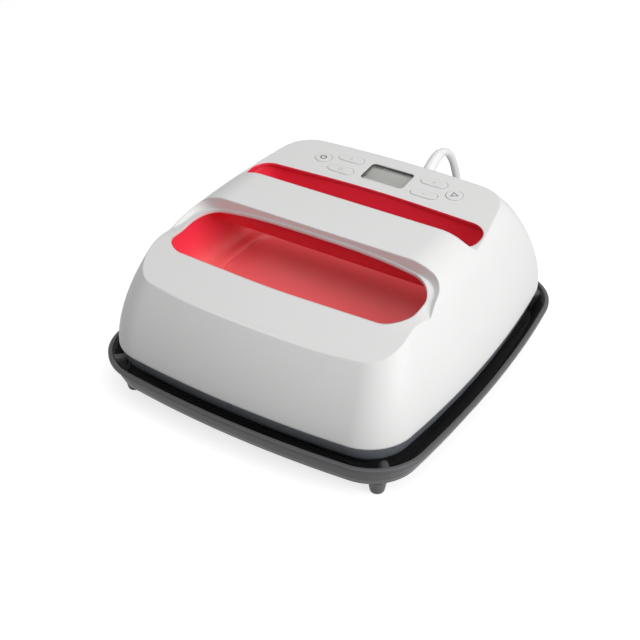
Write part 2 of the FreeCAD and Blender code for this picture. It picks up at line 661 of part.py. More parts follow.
def make_power_board():
    """Circuit board with relay, transformer, capacitor and fuse on it."""
    x, y = POWER_BOARD_MID
    low = HOUSING_DECK_Z + HOUSING_DECK_THICKNESS + STANDOFF_HEIGHT
    top = low + BOARD_SHEET
    board = rounded_box(POWER_BOARD_HALF_X, POWER_BOARD_HALF_Y, 2.0, low, top, x, y)
    pieces = [Part.makeBox(19.0, 15.5, 15.0, V(x - 28.0, y - 8.0, top - 0.2)),
              Part.makeBox(24.0, 20.0, 16.0, V(x - 4.0, y - 10.0, top - 0.2)),
              Part.makeCylinder(5.0, 14.0, V(x + 27.5, y + 9.0, top - 0.2)),
              Part.makeCylinder(2.6, 18.0, V(x - 30.0, y + 15.5, top + 2.4), V(1, 0, 0))]
    board = fuse_all([board] + pieces)
    for hole in pegs(STANDOFF_SITES, 1.3, low - 1.0, top + 1.0):
        board = board.cut(hole)
    return board


def make_standoffs():
    """Posts that carry the power board."""
    low = HOUSING_DECK_Z + HOUSING_DECK_THICKNESS
    posts = []
    for x, y in STANDOFF_SITES:
        post = Part.makeCylinder(3.0, STANDOFF_HEIGHT, V(x, y, low))
        posts.append(post.cut(Part.makeCylinder(1.2, STANDOFF_HEIGHT - 1.0, V(x, y, low + 1.0))))
    return posts


def make_standoff_screws():
    """Small screws through the power board into its posts."""
    low = HOUSING_DECK_Z + HOUSING_DECK_THICKNESS
    head_z = low + STANDOFF_HEIGHT + BOARD_SHEET
    return [screw(x, y, head_z, 2.2, 1.6, 1.15, low + 1.4) for x, y in STANDOFF_SITES]


def make_terminal_block():
    """Block that takes the mains cord, its rear top edge cut square to the cord."""
    low = HOUSING_DECK_Z + HOUSING_DECK_THICKNESS
    block = Part.makeBox(24.0, 26.0, 16.0, V(EXIT_X - 12.0, TERMINAL_Y - 18.0, low))
    point, direction = exit_axis()
    face_at = point - direction * CABLE_DEPTH
    block = block.cut(Part.makeCylinder(40.0, 60.0, face_at, direction))
    for i in range(3):
        block = block.cut(Part.makeCylinder(2.0, 3.0, V(EXIT_X - 7.0 + 7.0 * i, TERMINAL_Y - 12.5, low + 13.5)))
    return block


def make_cord_clamp():
    """Saddle on a post that grips the cord inside the shell."""
    low = HOUSING_DECK_Z + HOUSING_DECK_THICKNESS
    point, direction = exit_axis()
    middle = point - direction * CLAMP_DEPTH
    foot = rounded_box(9.0, 6.0, 2.0, low, middle.z, EXIT_X, middle.y)
    saddle = Part.makeCylinder(CORD_D / 2 + 3.0, 9.0, middle - direction * 4.5, direction)
    bore = Part.makeCylinder(CORD_D / 2 + FIT_GAP, 60.0, middle - direction * 30.0, direction)
    return foot.fuse(saddle).cut(bore)


def make_supply_cable():
    """Stretch of the mains cord inside the shell, from the terminal block to the strain relief."""
    point, direction = exit_axis()
    return Part.makeCylinder(CORD_D / 2, CABLE_DEPTH - BOOT_INSIDE, point - direction * CABLE_DEPTH, direction)


def make_strain_relief():
    """Ribbed taper that the cord passes through at the rear wall."""
    point, direction = exit_axis()
    profile = [(0, -BOOT_INSIDE), (8.0, -BOOT_INSIDE), (8.0, -5.0), (5.5, -5.0), (5.5, 1.9), (6.9, 1.9)]
    ribs = 3
    pitch = (BOOT_OUTSIDE - 2.8) / ribs
    for i in range(ribs):
        start = 1.9 + pitch * i
        radius = 6.9 - 0.75 * i
        profile += [(radius, start + pitch * 0.62), (radius - 0.9, start + pitch * 0.62),
                    (radius - 0.75, start + pitch)]
    profile += [(CORD_D / 2 + 0.5, BOOT_OUTSIDE), (0, BOOT_OUTSIDE)]
    boot = revolved(profile, 0.0, 0.0)
    turn = FreeCAD.Rotation(V(0, 0, 1), direction)
    boot.Placement = FreeCAD.Placement(point, turn)
    return boot


def make_control_board():
    """Circuit board behind the keys and the display."""
    board = rounded_box(74.0, 16.0, 2.0, BOARD_TOP - BOARD_SHEET, BOARD_TOP)
    chip = Part.makeBox(12.0, 12.0, 1.8, V(-6.0, -8.0, BOARD_TOP - BOARD_SHEET - 1.6))
    socket = Part.makeBox(16.0, 6.0, 6.0, V(22.0, 6.0, BOARD_TOP - BOARD_SHEET - 5.8))
    board = fuse_all([board, chip, socket])
    for x, v in BOARD_POSTS:
        board = board.cut(Part.makeCylinder(1.1, 8.0, V(x, v, BOARD_TOP - 4.0)))
    return on_panel(board)


def make_board_screws():
    """Screws that hold the control board to the posts under the panel."""
    low = BOARD_TOP - BOARD_SHEET
    return [on_panel(screw(x, v, low, 2.0, 1.5, 0.95, low + 5.5)) for x, v in BOARD_POSTS]


def make_switches():
    """One push switch under each key."""
    switches = []
    for _, x, v in KEYS.values():
        body = Part.makeBox(6.0, 6.0, 1.4, V(x - 3.0, v - 3.0, BOARD_TOP))
        plunger = Part.makeCylinder(1.6, SWITCH_TOP - BOARD_TOP - 1.0, V(x, v, BOARD_TOP + 1.0))
        switches.append(on_panel(body.fuse(plunger)))
    return switches


def make_display():
    """Display module between the board and its window."""
    return on_panel(rounded_box(20.5, 13.0, 0.8, BOARD_TOP, -SHELL_WALL - WINDOW_THICKNESS))


def make_window():
    """Clear window seated behind the panel opening."""
    half_x = DISPLAY_LENGTH / 2 + 1.9
    half_y = DISPLAY_WIDTH / 2 + 1.9
    return on_panel(rounded_box(half_x, half_y, 2.5, -SHELL_WALL - WINDOW_THICKNESS, -SHELL_WALL))


def make_key(name):
    """Cap, hidden flange and stem of one key."""
    kind, x, v = KEYS[name]
    flange_low = FLANGE_TOP - FLANGE_THICKNESS
    cap = key_prism(kind, 0.0, flange_low, KEY_PROUD)
    cap = cap.makeFillet(0.35, [edge for edge in cap.Edges if edge.BoundBox.ZMin > KEY_PROUD - 0.01])
    key = cap.fuse(key_prism(kind, 0.9, flange_low, FLANGE_TOP))
    key = key.fuse(Part.makeCylinder(1.5, 1.5, V(0, 0, STEM_BOTTOM)))
    key.translate(V(x, v, 0))
    return on_panel(key)


def tray_wire(inset, z):
    """Outline of the stand's pocket edge, drawn in by inset."""
    return outline(TRAY_HALF_X - inset, TRAY_HALF_Y - inset, TRAY_CORNER - inset, z, 0.0,
                   TRAY_SIDE_BOW, TRAY_END_BOW)


def tray_nub(side_x, side_y):
    """Corner rib in the pocket that guides the press as it is set down."""
    angle = math.degrees(math.atan2(side_y, side_x))
    high = Part.makeCylinder(3.8, 30.0, V(-11.0, 0, NUB_TOP_Z - 3.8), V(1, 0, 0))
    rib = high.fuse(Part.makeBox(30.0, 7.6, NUB_TOP_Z - 3.8 - TRAY_BOTTOM_Z, V(-11.0, -3.8, TRAY_BOTTOM_Z)))
    rib.rotate(V(0, 0, 0), V(0, 0, 1), angle)
    rib.translate(V(side_x * NUB_X, side_y * NUB_Y, 0))
    return rib


def make_tray():
    """Insulated stand: rolled lip, tucked-in wall, shallow pocket and four corner guides."""
    lip = Part.makeLoft([tray_wire(-LIP_WIDTH, LIP_Z - LIP_DEPTH), tray_wire(-LIP_WIDTH, LIP_Z - 0.8),
                         tray_wire(0.8 - LIP_WIDTH, LIP_Z)], True, True)
    wall = Part.makeLoft([tray_wire(inset - LIP_WIDTH, z) for z, inset in
                          ((TRAY_BOTTOM_Z, 11.5), (TRAY_BOTTOM_Z + 2.2, 8.6), (19.5, 6.2), (LIP_Z - LIP_DEPTH, 3.2))],
                         True, True)
    solid = lip.fuse(wall)
    pocket = Part.makeLoft([tray_wire(10.0, TRAY_FLOOR_Z), tray_wire(0.0, LIP_Z), tray_wire(0.0, LIP_Z + 1.0)],
                           True, True)
    tray = solid.cut(pocket)
    press_room = skirt_form(NUB_GAP, SKIRT_BOTTOM_Z - 4.0, SHELL_FOOT_Z)
    for side_x in (-1, 1):
        for side_y in (-1, 1):
            tray = tray.fuse(tray_nub(side_x, side_y).common(solid).cut(press_room))
    return tray


def make_feet():
    """Four tapered feet under the stand."""
    profile = [(0, TRAY_BOTTOM_Z), (7.5, TRAY_BOTTOM_Z), (5.6, 1.6), (5.2, 0.5), (4.4, 0), (0, 0)]
    return [revolved(profile, sx * FOOT_X, sy * FOOT_Y) for sx in (-1, 1) for sy in (-1, 1)]


def corner_arc(start, corner, end):
    """Arc that leaves start towards the corner and ends as far past it, with its radius."""
    before = start - corner
    after = end - corner
    half_angle = before.getAngle(after) / 2.0
    radius = before.Length * math.tan(half_angle)
    inward = before.normalize() + after.normalize()
    inward.normalize()
    middle = corner + inward * (radius / math.sin(half_angle) - radius)
    return Part.Arc(start, middle, end).toShape(), radius


def cord_path(points, label):
    """Wire of straight runs joined by arcs as large as the runs allow; prints its radii."""
    edges = []
    radii = []
    at = points[0]
    for i in range(1, len(points) - 1):
        corner = points[i]
        back = points[i - 1] - corner
        ahead = points[i + 1] - corner
        reach = 0.45 * min(back.Length, ahead.Length)
        start = corner + back.normalize() * reach
        end = corner + ahead.normalize() * reach
        arc, radius = corner_arc(start, corner, end)
        edges.append(Part.LineSegment(at, start).toShape())
        edges.append(arc)
        radii.append(radius)
        at = end
    edges.append(Part.LineSegment(at, points[-1]).toShape())
    path = Part.Wire(edges)
    print(label, "length %.0f radii" % path.Length, " ".join("%.0f" % radius for radius in radii))
    return path


def cord_tube(points, label):
    """Cord along a route; prints how its volume compares with section times length."""
    route = [V(x, SHELL_HALF_Y + behind, z) for x, behind, z in points]
    path = cord_path(route, label)
    tube = swept_tube(path, route[0], route[1] - route[0], CORD_D / 2)
    expected = math.pi * CORD_D ** 2 / 4 * path.Length
    print(label, "volume ratio %.4f valid %s" % (tube.Volume / expected, tube.isValid()))
    return tube


def coil_state(quarter):
    """Centreline point and direction of the coil after a number of quarter turns."""
    layer = min(quarter // LAYER_QUARTERS, COIL_LAYERS - 1)
    within = quarter - layer * LAYER_QUARTERS
    inward = layer % 2 == 0
    drift = COIL_PITCH * within / 4.0
    radius = COIL_OUTER_R - drift if inward else COIL_OUTER_R - COIL_PITCH * LAYER_QUARTERS / 4.0 + drift
    radial = -COIL_PITCH / (2.0 * math.pi) if inward else COIL_PITCH / (2.0 * math.pi)
    z = COIL_LOW_Z + COIL_PITCH * (COIL_LAYERS - 1 - layer)
    climb = 0.0
    ends = quarter in (0, COIL_LAYERS * LAYER_QUARTERS)
    if within == 0 and not ends:
        z += COIL_PITCH / 2.0
        climb = -1.3 * COIL_PITCH / math.pi
    if within == 0 or ends:
        radial = 0.0
    angle = math.pi / 2.0 * (quarter + 1)
    out = V(math.cos(angle), math.sin(angle), 0)
    along = V(-math.sin(angle), math.cos(angle), 0)
    point = V(COIL_X, COIL_Y, z) + out * radius
    heading = along * radius + out * radial + V(0, 0, climb)
    return point, heading.normalize()


def biarc(start, heading, end, end_heading):
    """Two arcs that join two points with given directions."""
    chord = end - start
    both = heading + end_heading
    square = 4.0 - both.dot(both)
    cross = 2.0 * chord.dot(both)
    reach = (-cross + math.sqrt(cross * cross + 4.0 * square * chord.dot(chord))) / (2.0 * square)
    first = start + heading * reach
    second = end - end_heading * reach
    middle = (first + second) * 0.5
    return [corner_arc(start, first, middle)[0], corner_arc(middle, second, end)[0]]


def coil_path():
    """One unbroken path: spirals in and out by turns, a layer lower after each reversal."""
    quarters = COIL_LAYERS * LAYER_QUARTERS
    start, heading = coil_state(0)
    edges = [Part.LineSegment(start - heading * CORD_D, start).toShape()]
    for quarter in range(quarters):
        end, end_heading = coil_state(quarter + 1)
        edges += biarc(start, heading, end, end_heading)
        start = end
        heading = end_heading
    edges.append(Part.LineSegment(start, start + heading * CORD_D).toShape())
    return Part.Wire(edges)


def least_gap(path, diameter):
    """Least gap between stretches of a tube that lie further apart along it than three diameters."""
    points = []
    walked = []
    total = 0.0
    for edge in path.OrderedEdges:
        count = max(int(edge.Length / 2.0), 2)
        for point in edge.discretize(count):
            if points:
                total += (point - points[-1]).Length
            points.append(point)
            walked.append(total)
    least = 1000.0
    for i, point in enumerate(points):
        for j in range(i + 1, len(points)):
            if walked[j] - walked[i] > 3.0 * diameter:
                least = min(least, (points[j] - point).Length)
    return least - diameter


def make_coil():
    """Put-away length of the cord as a wound coil of real turns."""
    path = coil_path()
    start, heading = coil_state(0)
    tube = swept_tube(path, start - heading * CORD_D, heading, CORD_D / 2)
    expected = math.pi * CORD_D ** 2 / 4 * path.Length
    print("cord_coil length %.0f gap %.2f volume ratio %.4f valid %s"
          % (path.Length, least_gap(path, CORD_D), tube.Volume / expected, tube.isValid()))
    return tube


def make_tie():
    """Strap round the bundle of turns on the coil's left side."""
    radial_mid = COIL_OUTER_R - COIL_PITCH * LAYER_QUARTERS / 8.0
    half = COIL_PITCH / 2.0 + CORD_D / 2 + TIE_GAP
    low = COIL_LOW_Z - CORD_D / 2 - TIE_GAP
    high = COIL_LOW_Z + COIL_PITCH * (COIL_LAYERS - 1) + CORD_D / 2 + TIE_GAP

    def ring(grow):
        reach = half + grow
        points = [V(COIL_X - radial_mid + dx * reach, COIL_Y - TIE_WIDTH / 2, z)
                  for dx, z in ((-1, low - grow), (1, low - grow), (1, high + grow), (-1, high + grow))]
        wire = rounded_polygon(points, [3.5 + grow] * 4)
        return Part.Face(wire).extrude(V(0, TIE_WIDTH, 0))

    return ring(TIE_SHEET).cut(ring(0.0))


def make_plug():
    """Moulded plug body lying on the floor, tapering to the cord."""
    sections = [(0.0, 5.6, 5.6, 4.0), (8.0, 7.0, 7.2, 4.5), (16.0, 9.6, 9.0, 5.0), (24.0, 11.8, PLUG_Z, 5.5),
                (32.0, 12.2, PLUG_Z, 5.5)]
    wires = []
    for step, half_x, half_z, corner in sections:
        y = PLUG_Y - step
        points = [V(PLUG_X + sx * half_x, y, PLUG_Z + sz * half_z)
                  for sx, sz in ((-1, -1), (1, -1), (1, 1), (-1, 1))]
        wires.append(rounded_polygon(points, [corner] * 4))
    return Part.makeLoft(wires, True, True)


def make_pins():
    """Two flat blades and a round earth pin."""
    y = PLUG_Y - PLUG_LENGTH
    pins = [Part.makeBox(6.3, 17.5, 1.5, V(PLUG_X + 0.8, y - 17.5, PLUG_Z + side * 6.35 - 0.75))
            for side in (-1, 1)]
    pins.append(Part.makeCylinder(2.4, 19.0, V(PLUG_X - 7.9, y, PLUG_Z), V(0, -1, 0)))
    return pins


def export(name, pieces):
    """Writes one sub-part, which may be several separate solids."""
    solids = pieces if isinstance(pieces, list) else [pieces]
    shape = Part.makeCompound(solids) if len(solids) > 1 else solids[0]
    shape.exportStep("parts/" + name + ".step")
    counted = len(shape.Solids)
    print(name, "solids", counted, "volume %.0f" % shape.Volume, "valid", shape.isValid())


def main():
    os.makedirs("parts", exist_ok=True)
    cavity = make_cavity()
    tub, tub_inside = make_tub(cavity)
    export("top_shell", make_shell(cavity))
    export("recess_liner", tub)
    export("grip_underside", make_grip(tub_inside, cavity))
    export("lower_skirt", make_skirt())
    export("heat_plate", make_heat_plate())
    export("heating_element", element_tube(ELEMENT_R))
    export("thermal_cutout", make_thermal_cutout())
    export("temperature_sensor", make_sensor())
    export("insulation_board", make_insulation_board())
    export("heat_shield", make_heat_shield())
    export("plate_spacers", make_spacers())
    export("plate_screws", make_plate_screws())
    export("shell_screws", make_shell_screws())
    export("power_board", make_power_board())
    export("power_board_posts", make_standoffs())
    export("power_board_screws", make_standoff_screws())
    export("terminal_block", make_terminal_block())
    export("cord_clamp", make_cord_clamp())
    export("supply_cable", make_supply_cable())
    export("strain_relief", make_strain_relief())
    export("control_board", make_control_board())
    export("board_screws", make_board_screws())
    export("push_switches", make_switches())
    export("display_module", make_display())
    export("display_window", make_window())
    for name in KEYS:
        export(name, make_key(name))
    export("base_tray", make_tray())
    export("base_feet", make_feet())
    export("base_insulation", rounded_box(TRAY_HALF_X - 18.1, TRAY_HALF_Y - 18.8, PAD_CORNER, TRAY_FLOOR_Z, PAD_TOP_Z))
    export("base_mat", rounded_box(TRAY_HALF_X - 20.1, TRAY_HALF_Y - 20.8, PAD_CORNER, PAD_TOP_Z, PLATE_BOTTOM_Z))
    export("cord_lead", cord_tube(LEAD_POINTS, "cord_lead"))
    export("cord_coil", make_coil())
    export("cord_tail", cord_tube(TAIL_POINTS, "cord_tail"))
    export("cord_tie", make_tie())
    export("plug_body", make_plug())
    export("plug_pins", make_pins())


main()
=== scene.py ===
import bpy
import math
from mathutils import Matrix, Vector


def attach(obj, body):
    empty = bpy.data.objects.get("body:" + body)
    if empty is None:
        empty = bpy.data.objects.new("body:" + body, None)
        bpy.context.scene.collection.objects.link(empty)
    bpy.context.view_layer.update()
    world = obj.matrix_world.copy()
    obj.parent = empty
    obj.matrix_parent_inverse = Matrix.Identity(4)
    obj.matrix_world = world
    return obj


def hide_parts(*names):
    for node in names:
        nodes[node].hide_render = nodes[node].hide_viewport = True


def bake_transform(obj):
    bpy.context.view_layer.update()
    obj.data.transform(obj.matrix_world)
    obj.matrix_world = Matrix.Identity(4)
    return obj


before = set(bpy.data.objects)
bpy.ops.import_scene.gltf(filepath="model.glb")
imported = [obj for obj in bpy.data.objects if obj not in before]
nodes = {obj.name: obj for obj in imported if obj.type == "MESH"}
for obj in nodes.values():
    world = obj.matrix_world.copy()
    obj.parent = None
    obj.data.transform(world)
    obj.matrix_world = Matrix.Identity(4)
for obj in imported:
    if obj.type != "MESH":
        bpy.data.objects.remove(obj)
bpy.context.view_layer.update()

# Lengths are metres and angles degrees, unless a name says otherwise.

# Camera fitted to the photograph
CAMERA_AT = Vector((0.4075, -0.6711, 0.5887))
CAMERA_TARGET = Vector((-0.00988, -0.0075, 0.034))
LENS_MM = 66.39
SENSOR_MM = 36.0

# Studio: each lamp has its place, its aim, its size and its power in watts
KEY_LAMP = ((1.5, -0.2, 0.65), (0.0, 0.0, 0.06), (0.9, 0.9), 14.6)
TOP_LAMP = ((0.25, -0.2, 1.5), (0.0, 0.0, 0.1), (1.8, 1.4), 14.0)
FLOOR_REACH = 4.0
FLOOR_GREY = (0.5, 0.5, 0.5)
FLOOR_GLOW = 0.76
WORLD_LEVEL = 0.18

# Colours of the main parts
WHITE = (0.80, 0.80, 0.795)
CORD_WHITE = (0.86, 0.86, 0.855)
# Red of the grip's underside: its own red made darker with painted shade.
GRIP_RED_PAINTED_SHADE = (0.68, 0.006, 0.030)
RED_WALL = (0.88, 0.035, 0.075)
# Lighter red for the recess's level faces: painted sheen and painted light on the dish floor.
RED_FLOOR_PAINTED_SHEEN = (0.92, 0.165, 0.175)
HOUSING = (0.13, 0.143, 0.16)
STAND = (0.105, 0.106, 0.110)
FEET = (0.10, 0.102, 0.11)
# Near-black painted shade for the hollow inside the stand's tray.
STAND_INSIDE_SHADE = (0.008, 0.008, 0.009)
DISPLAY = (0.50, 0.505, 0.48)

# Textures: noise scales per metre, the noise values mapped to a range's ends, and the gloss's spread
BROAD_NOISE = 14.0
PATCH_NOISE = 60.0
RED_NOISE = 2200.0
METAL_NOISE = 700.0
HAZE_NOISE = 300.0
TRACK_NOISE = 240.0
NOISE_LOW = 0.3
NOISE_HIGH = 0.7
PLASTIC_GLOSS_SPREAD = 0.03
RED_GLOSS_SPREAD = 0.04
METAL_GLOSS_SPREAD = 0.06

# Rear panel that carries the keys, and the keys' places on it
PANEL_MID = Vector((0.0, 0.0796, 0.12944))
PANEL_TILT = math.atan(0.09)
KEY_PROUD = 0.0004
ROUND_KEY_X = 0.061
PILL_KEY_X = 0.0387
UPPER_KEY_V = 0.0084
LOWER_KEY_V = -0.0095

# Printed symbols, drawn round the middle of their key
PRINT_SUNK = 0.00002
PRINT_PROUD = 0.00003
POWER_R = 0.0024
POWER_WIDTH = 0.0009
START_POINTS = [(-0.0018, -0.0028), (0.0031, 0.0), (-0.0018, 0.0028)]
START_WIDTH = 0.0013
BULB_R = 0.0009
BULB_Y = -0.0012
TUBE_HALF = 0.0005
TUBE_LOW_Y = -0.0004
TUBE_HIGH_Y = 0.002
CLOCK_R = 0.002
CLOCK_HANDS = [(0.0, 0.0013), (0.0, 0.0), (0.001, -0.0005)]
FINE_WIDTH = 0.0004
SIGN_ARM = 0.0016
SIGN_WIDTH = 0.0005

# Dark rim in the display's opening, painted shade on its walls over the bezel's own grey, in panel
# coordinates
DISPLAY_HALF_X = 0.0196
DISPLAY_HALF_Y = 0.01165
DISPLAY_CORNER = 0.0032
RIM_GAP = 0.00005
RIM_THICKNESS = 0.0003
RIM_LOW = -0.0022
RIM_HIGH = -0.00035

# Finger slot behind the handle
SLOT_REACH = Vector((0.1065, 0.0585))
SLOT_FRONT_Y = 0.0165
SLOT_LOW_Z = 0.108
UPRIGHT_NORMAL_Z = 0.2

# Section of the dark band under the shell: inset from the skirt's rim and height, outside first
SHELL_FOOT_Z = 0.0456
BAND_PROFILE = [(0.0002, 0.0455), (0.0001, 0.0445), (0.0003, 0.0415), (0.0008, 0.0380), (0.0014, 0.0355),
                (0.0020, 0.0340), (0.0032, 0.0329), (0.0055, 0.0322), (0.0080, 0.0320), (0.0080, 0.0330),
                (0.0050, 0.0375), (0.0020, 0.0430), (0.0012, 0.0455)]
BAND_STEP = 0.003
RIM_NEAR = 0.0005
RIM_FLAT = 0.00001

# Inside of the stand: heights between which it gets painted shade, and how far a face has to look inwards
STAND_LIP_Z = 0.034
SHADE_TOP_Z = STAND_LIP_Z - 0.004
SHADE_FOOT_Z = 0.0135
SHADE_INWARD = -0.02
LEVEL_NORMAL_Z = 0.5

# Cord and its coil, as in the solids
CORD_D = 0.0072
LINE_STEPS = 6
TUBE_ROUNDNESS = 5
REAR_Y = 0.1449
COIL_CENTRE = Vector((-0.054, REAR_Y + 0.0661, 0.0045))
COIL_OUTER_R = 0.043
COIL_PITCH = 0.0078
COIL_LAYERS = 4
LAYER_TURNS = 1.5
TURN_STEPS = 24
QUARTER_TURN = 0.25
FULL_CIRCLE = 2.0 * math.pi

# Sleeve of the strain relief, along the cord from the last rib
BOOT_LENGTH = 0.023
BOOT_START_R = 0.0053
BOOT_END_R = 0.0044
BOOT_EDGE = 0.0006
BOOT_SIDES = 28
RIGHTWARDS = Vector((1.0, 0.0, 0.0))


def material(name, base, rough, metallic=0.0):
    """New node material, with its node tree and shader."""
    made = bpy.data.materials.new(name)
    made.use_nodes = True
    shader = made.node_tree.nodes["Principled BSDF"]
    shader.inputs["Base Color"].default_value = (*base, 1.0)
    shader.inputs["Roughness"].default_value = rough
    shader.inputs["Metallic"].default_value = metallic
    return made, made.node_tree, shader


def noise(tree, scale, detail=3.0, stretch=(1.0, 1.0, 1.0)):
    """Noise over the object's own coordinates, per metre."""
    place = tree.nodes.new("ShaderNodeTexCoord")
    mapping = tree.nodes.new("ShaderNodeMapping")
    mapping.inputs["Scale"].default_value = stretch
    texture = tree.nodes.new("ShaderNodeTexNoise")
    texture.inputs["Scale"].default_value = scale
    texture.inputs["Detail"].default_value = detail
    tree.links.new(place.outputs["Object"], mapping.inputs["Vector"])
    tree.links.new(mapping.outputs["Vector"], texture.inputs["Vector"])
    return texture.outputs["Fac"]


def spread(tree, value, low, high):
    """Maps a noise value to a range."""
    span = tree.nodes.new("ShaderNodeMapRange")
    span.inputs["From Min"].default_value = NOISE_LOW
    span.inputs["From Max"].default_value = NOISE_HIGH
    span.inputs["To Min"].default_value = low
    span.inputs["To Max"].default_value = high
    tree.links.new(value, span.inputs["Value"])
    return span.outputs["Result"]


def vary_gloss(tree, shader, value, rough, reach):
    """Roughness that wanders as far as reach to both sides."""
    tree.links.new(spread(tree, value, rough - reach, rough + reach), shader.inputs["Roughness"])


def tint(tree, shader, value, dark, light):
    """Colour that wanders between two shades."""
    mix = tree.nodes.new("ShaderNodeMix")
    mix.data_type = "RGBA"
    mix.inputs["A"].default_value = (*dark, 1.0)
    mix.inputs["B"].default_value = (*light, 1.0)
    tree.links.new(value, mix.inputs["Factor"])
    tree.links.new(mix.outputs["Result"], shader.inputs["Base Color"])


def relief(tree, shader, value, depth, soften=0.0):
    """Fine surface relief, with creases softened over a radius."""
    bump = tree.nodes.new("ShaderNodeBump")
    bump.inputs["Distance"].default_value = depth
    bump.inputs["Strength"].default_value = 1.0
    tree.links.new(value, bump.inputs["Height"])
    if soften > 0.0:
        bevel = tree.nodes.new("ShaderNodeBevel")
        bevel.samples = 6
        bevel.inputs["Radius"].default_value = soften
        tree.links.new(bevel.outputs["Normal"], bump.inputs["Normal"])
    tree.links.new(bump.outputs["Normal"], shader.inputs["Normal"])


def shade(color, factor):
    """Colour made lighter or darker."""
    return tuple(min(part * factor, 1.0) for part in color)


def moulded(name, color, rough, grain=0.00001, scale=2600.0, soften=0.0, wander=0.02, shine=0.5):
    """Moulded plastic: slight shade and gloss variation and a fine spark-eroded grain."""
    made, tree, shader = material(name, color, rough)
    shader.inputs["Specular IOR Level"].default_value = shine
    broad = spread(tree, noise(tree, BROAD_NOISE, 2.0), 0.0, 1.0)
    tint(tree, shader, broad, shade(color, 1.0 - wander), shade(color, 1.0 + wander))
    vary_gloss(tree, shader, noise(tree, PATCH_NOISE), rough, PLASTIC_GLOSS_SPREAD)
    relief(tree, shader, noise(tree, scale, 2.0), grain, soften)
    return made


def painted_sheen_bowl(name, wall, floor, rough):
    """Moulded plastic with painted light: its level faces are painted lighter than its walls, a painted
    sheen.
    """
    made, tree, shader = material(name, wall, rough)
    # Painted light: the more a face looks up, the more of the lighter floor colour it gets.
    facing = tree.nodes.new("ShaderNodeNewGeometry")
    split = tree.nodes.new("ShaderNodeSeparateXYZ")
    tree.links.new(facing.outputs["Normal"], split.inputs["Vector"])
    level = tree.nodes.new("ShaderNodeMapRange")
    level.interpolation_type = "SMOOTHSTEP"
    level.inputs["From Min"].default_value = 0.0
    level.inputs["From Max"].default_value = 1.0
    tree.links.new(split.outputs["Z"], level.inputs["Value"])
    tint(tree, shader, level.outputs["Result"], wall, floor)
    vary_gloss(tree, shader, noise(tree, PATCH_NOISE), rough, RED_GLOSS_SPREAD)
    relief(tree, shader, noise(tree, RED_NOISE, 2.0), 0.000008, soften=0.003)
    return made


def metal(name, color, rough, stretch=(1.0, 1.0, 1.0)):
    """Metal with brushed or cast variation."""
    made, tree, shader = material(name, color, rough, 1.0)
    lines = noise(tree, METAL_NOISE, 3.0, stretch)
    tint(tree, shader, spread(tree, lines, 0.0, 1.0), shade(color, 0.9), shade(color, 1.08))
    vary_gloss(tree, shader, lines, rough, METAL_GLOSS_SPREAD)
    relief(tree, shader, lines, 0.00001)
    return made


def woven(name, color, rough, scale):
    """Felted or woven sheet."""
    made, tree, shader = material(name, color, rough)
    fibres = noise(tree, scale, 6.0, (1.0, 1.0, 3.0))
    tint(tree, shader, spread(tree, fibres, 0.0, 1.0), shade(color, 0.75), shade(color, 1.2))
    relief(tree, shader, fibres, 0.0002)
    return made


def clear_window(name):
    """Clear hard window with a faint haze."""
    made, tree, shader = material(name, (0.94, 0.95, 0.94), 0.08)
    shader.inputs["Transmission Weight"].default_value = 1.0
    shader.inputs["IOR"].default_value = 1.3
    haze = noise(tree, HAZE_NOISE, 2.0)
    tree.links.new(spread(tree, haze, 0.05, 0.10), shader.inputs["Roughness"])
    return made


def circuit(name):
    """Green board with darker tracks."""
    made, tree, shader = material(name, (0.02, 0.16, 0.06), 0.4)
    tracks = noise(tree, TRACK_NOISE, 0.0, (1.0, 3.0, 1.0))
    tint(tree, shader, spread(tree, tracks, 0.0, 1.0), (0.012, 0.10, 0.04), (0.03, 0.22, 0.09))
    relief(tree, shader, tracks, 0.00005)
    return made


def dress(made, *names):
    """Puts a material on CAD nodes."""
    for name in names:
        data = nodes[name].data
        data.materials.clear()
        data.materials.append(made)
        for face in data.polygons:
            face.material_index = 0


def shade_stand_inside(made):
    """Painted shade: near-black on the faces that look inwards or upwards in the stand's tray, below its
    lip.
    """
    data = nodes["base_tray"].data
    data.materials.append(made)
    for face in data.polygons:
        centre = face.center
        inward = face.normal.x * centre.x + face.normal.y * centre.y < SHADE_INWARD
        inside = SHADE_FOOT_Z < centre.z < SHADE_TOP_Z
        if inside and (inward or face.normal.z > LEVEL_NORMAL_Z):
            face.material_index = 1


def line_openings(made):
    """Red on the edges that the shell shows round the finger slot, where the recess comes flush."""
    data = nodes["top_shell"].data
    data.materials.append(made)
    for face in data.polygons:
        centre = face.center
        upright = abs(face.normal.z) < UPRIGHT_NORMAL_Z
        inside_slot = abs(centre.x) < SLOT_REACH.x and SLOT_FRONT_Y < centre.y < SLOT_REACH.y
        if upright and inside_slot and centre.z > SLOT_LOW_Z:
            face.material_index = 1


def add_mesh(name, verts, faces, made, place=None, smooth=False):
    """New object with its own mesh and one material. Only its four-sided faces can be smooth."""
    mesh = bpy.data.meshes.new(name)
    mesh.from_pydata(verts, [], faces)
    if place is not None:
        mesh.transform(place)
    mesh.update()
    for face in mesh.polygons:
        face.use_smooth = smooth and len(face.vertices) == 4
    piece = bpy.data.objects.new(name, mesh)
    bpy.context.scene.collection.objects.link(piece)
    mesh.materials.append(made)
    return piece


def quads(near, far, count):
    """Faces between two rings of points that start at these indices."""
    return [(near + i, near + (i + 1) % count, far + (i + 1) % count, far + i) for i in range(count)]


